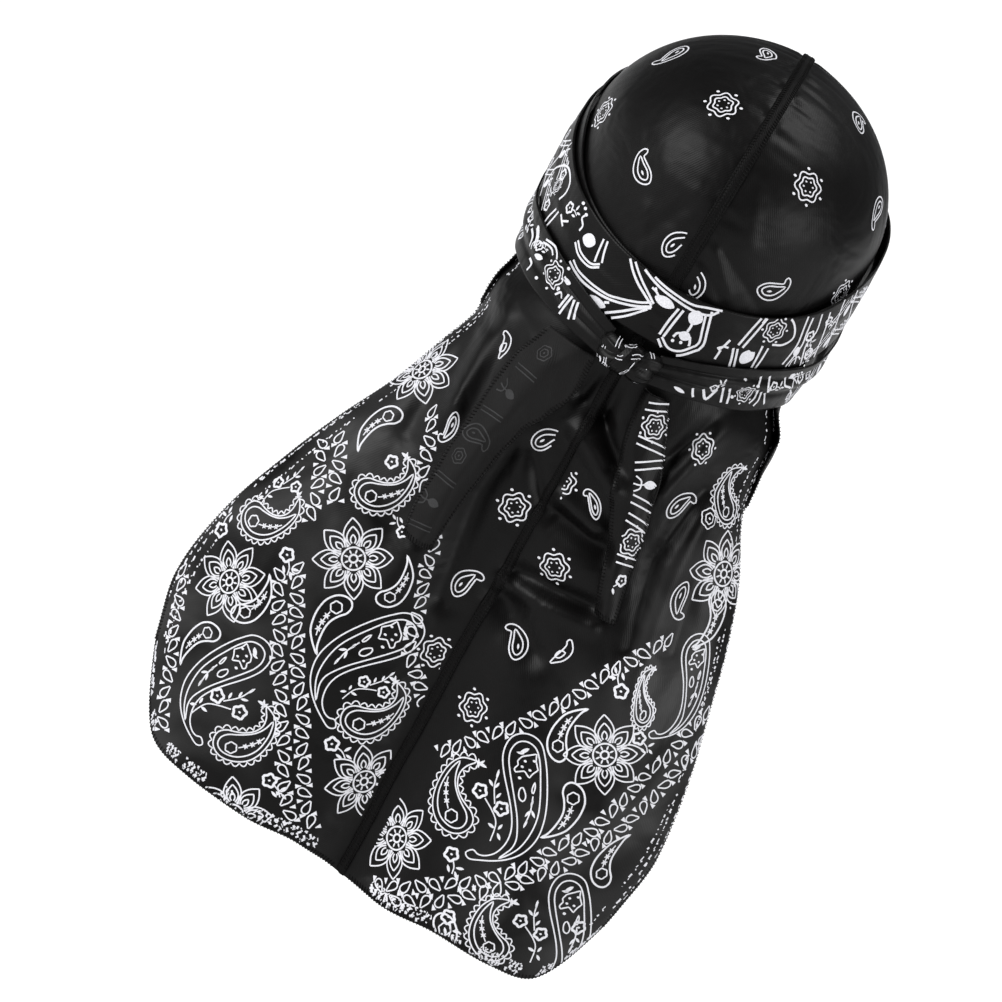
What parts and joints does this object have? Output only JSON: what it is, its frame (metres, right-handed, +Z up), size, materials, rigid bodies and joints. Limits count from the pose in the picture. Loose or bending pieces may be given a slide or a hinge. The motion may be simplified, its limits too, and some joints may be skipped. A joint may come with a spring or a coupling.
{
  "type": "bandana head wrap",
  "caption": "Satin head wrap with a bandana print, a centre seam, a long flared tail and two ties wound round the head and knotted at the nape.",
  "frame": {"origin": "inside of the crown at its top, on the centre seam, where the wrap sits on a head", "axes": "+Z up; +Y where the wearer looks; +X the wearer's right. The tail hangs behind, towards -Y and down."},
  "size_m": [0.2884, 0.2128, 0.482],
  "materials": {
    "printed_satin": "black polyester satin with a white bandana print, soft sheen",
    "satin_wrong_side": "dull wrong side of the satin, with the print showing through faintly",
    "black_thread": "black overlock stitching on the seam"
  },
  "bodies": {
    "root": {"left_panel": "printed_satin", "right_panel": "printed_satin", "centre_seam": "black_thread", "left_tie": "printed_satin", "right_tie": "printed_satin", "tie_knot": "printed_satin", "left_tie_end": "satin_wrong_side", "right_tie_end": "satin_wrong_side"}
  },
  "joints": []
}
